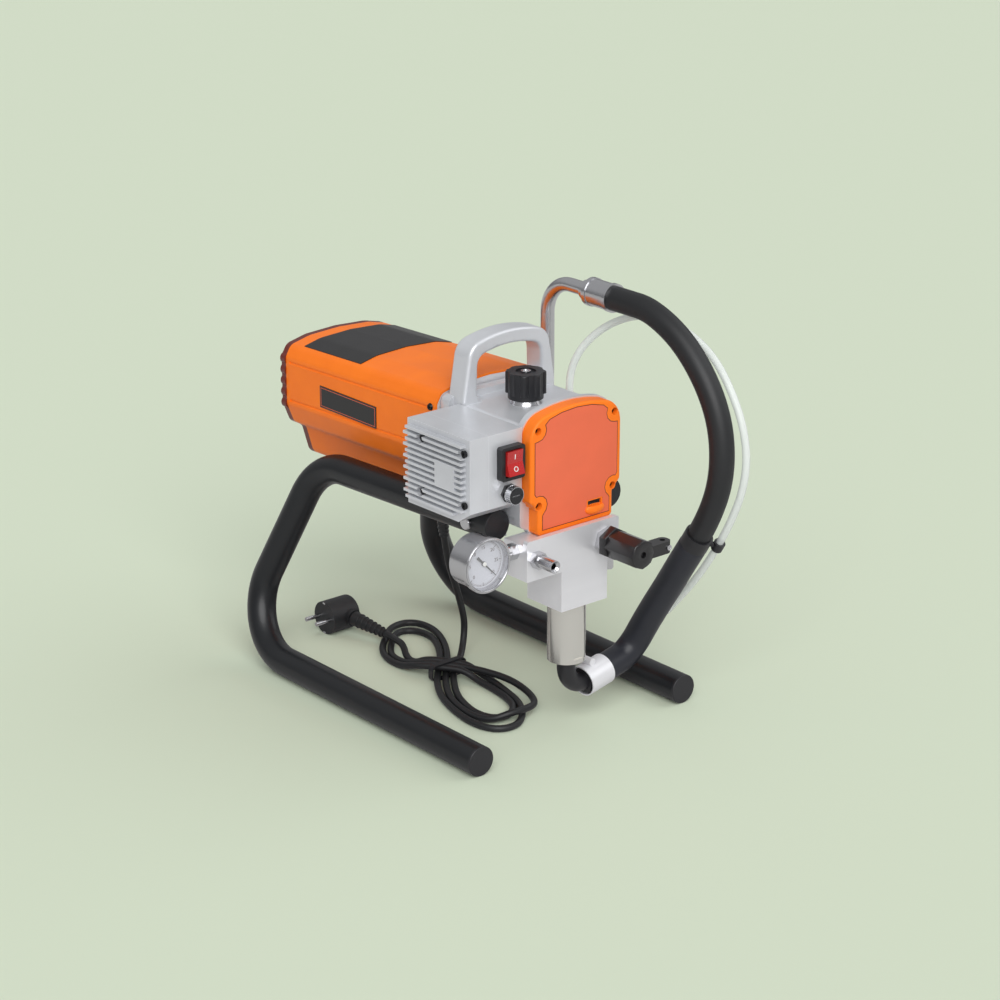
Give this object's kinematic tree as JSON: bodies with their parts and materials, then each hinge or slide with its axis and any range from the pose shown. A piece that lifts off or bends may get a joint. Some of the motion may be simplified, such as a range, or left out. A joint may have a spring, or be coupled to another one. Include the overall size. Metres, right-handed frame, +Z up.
{
  "type": "airless paint sprayer",
  "caption": "Electric piston pump paint sprayer on a bent tube stand, with a finned control box, gauge, carrying handle, siphon hose, drain tube and coiled mains cord.",
  "frame": {"origin": "on the floor, midway between the stand's two runners, under the middle of the depth from the prime valve's front to the motor cap's rear", "axes": "+Z up, -Y towards the front with the pump and outlet, +X towards the siphon hose"},
  "size_m": [0.312, 0.5165, 0.4523],
  "materials": {
    "black_steel_tube": "black powder coat, satin",
    "black_plastic": "black moulded plastic",
    "black_valve_plastic": "black moulded plastic, slightly glossy",
    "black_rubber": "black rubber",
    "silver_casting": "silver grey paint on cast metal, satin",
    "orange_cover": "bright orange paint, satin",
    "maroon_cap": "dark red brown plastic",
    "black_plate": "thin black plate, bare",
    "blackened_steel": "blackened steel screws",
    "bright_steel": "polished plated steel",
    "machined_steel": "machined steel",
    "machined_aluminium": "machined aluminium, satin",
    "plain_aluminium": "cast aluminium, plain",
    "stainless": "turned stainless steel",
    "gear_steel": "hardened steel, oiled",
    "copper": "varnished copper wire and copper bars",
    "magnet": "sintered magnet, dark grey",
    "iron_core": "stacked iron sheets",
    "packing": "leather and plastic packing rings",
    "board": "green circuit board",
    "red_rocker": "red translucent plastic",
    "dial": "printed dial, pale",
    "clear_lens": "clear flat lens",
    "clear_tube": "milky translucent tube",
    "fan_plastic": "dark plastic"
  },
  "bodies": {
    "machine": {"stand_left_tube": "black_steel_tube", "stand_right_tube": "black_steel_tube", "stand_end_plugs": "black_plastic", "gearbox_housing": "silver_casting", "front_cover": "orange_cover", "cover_screws": "blackened_steel", "machine_bolts": "bright_steel", "bearing_plate": "plain_aluminium", "ball_bearings": "bright_steel", "pump_block": "machined_aluminium", "rod_packings": "packing", "pump_cylinder": "stainless", "inlet_elbow": "black_plastic", "hose_clamp": "plain_aluminium", "siphon_pipe": "bright_steel", "inlet_strainer": "stainless", "pipe_clip": "black_plastic", "block_fittings": "bright_steel", "outlet_nipple": "bright_steel", "gauge_case": "bright_steel", "gauge_dial": "dial", "gauge_lens": "clear_lens", "control_box": "silver_casting", "heat_sink_cover": "silver_casting", "circuit_board": "board", "switch_panel": "black_plastic", "pressure_control": "bright_steel", "motor_front_bell": "plain_aluminium", "motor_can": "machined_steel", "field_magnets": "magnet", "motor_rear_bell": "plain_aluminium", "motor_cover": "orange_cover", "motor_rear_cap": "maroon_cap", "cover_plates": "black_plate", "cord_gland": "black_plastic", "suction_hose": "black_rubber", "hose_sleeve": "black_plastic", "drain_tube": "clear_tube", "mains_cord": "black_rubber", "cord_hank": "black_rubber", "line_ties": "black_plastic", "mains_plug": "black_rubber", "plug_pins": "bright_steel"},
    "armature": {"armature_shaft": "gear_steel", "armature_core": "iron_core", "armature_windings": "copper", "cooling_fan": "fan_plastic"},
    "idler": {"idler_gear": "gear_steel"},
    "crank": {"crankshaft": "gear_steel", "crank_gear": "gear_steel"},
    "plunger": {"piston_rod": "bright_steel", "piston": "machined_steel"},
    "conrod": {"connecting_rod": "machined_steel"},
    "outlet_check": {"outlet_ball": "bright_steel"},
    "inlet_check": {"inlet_ball": "bright_steel"},
    "rocker": {"switch_rocker": "red_rocker"},
    "pressure_dial": {"pressure_knob": "black_plastic"},
    "prime_lever": {"prime_valve_handle": "black_valve_plastic"},
    "needle": {"gauge_needle": "black_plastic"}
  },
  "joints": [
    {"name": "armature_spin", "type": "hinge", "parent": "machine", "child": "armature", "pos_m": [0, 0.00515, 0.284], "axis": [0, 1, 0], "continuous": true},
    {"name": "idler_spin", "type": "hinge", "parent": "machine", "child": "idler", "pos_m": [0.0259, -0.12085, 0.26887], "axis": [0, 1, 0], "continuous": true},
    {"name": "crank_spin", "type": "hinge", "parent": "machine", "child": "crank", "pos_m": [0, -0.12085, 0.3], "axis": [0, 1, 0], "continuous": true},
    {"name": "piston_stroke", "type": "slide", "parent": "machine", "child": "plunger", "axis": [0, 0, 1], "range_m": [0, 0.012]},
    {"name": "conrod_swing", "type": "hinge", "parent": "plunger", "child": "conrod", "pos_m": [0, -0.15185, 0.252], "axis": [0, 1, 0], "range_deg": [-8.2, 8.2]},
    {"name": "outlet_valve_lift", "type": "slide", "parent": "plunger", "child": "outlet_check", "axis": [0, 0, 1], "range_m": [0, 0.0025]},
    {"name": "inlet_valve_lift", "type": "slide", "parent": "machine", "child": "inlet_check", "axis": [0, 0, 1], "range_m": [0, 0.0025]},
    {"name": "switch_rock", "type": "hinge", "parent": "machine", "child": "rocker", "pos_m": [-0.0795, -0.15535, 0.3145], "axis": [1, 0, 0], "range_deg": [0, 14]},
    {"name": "pressure_turn", "type": "hinge", "parent": "machine", "child": "pressure_dial", "pos_m": [-0.004, -0.09085, 0.3503], "axis": [0, 0, 1], "range_deg": [0, 270]},
    {"name": "prime_turn", "type": "hinge", "parent": "machine", "child": "prime_lever", "pos_m": [0.027, -0.18715, 0.213], "axis": [0, 1, 0], "range_deg": [0, 90]},
    {"name": "needle_sweep", "type": "hinge", "parent": "machine", "child": "needle", "pos_m": [-0.124, -0.16785, 0.221], "axis": [0, 1, 0], "range_deg": [-270, 0]}
  ],
  "couplings": [
    {"joint": "idler_spin", "follows": "armature_spin", "ratio": -0.25},
    {"joint": "crank_spin", "follows": "armature_spin", "ratio": 0.071429}
  ]
}
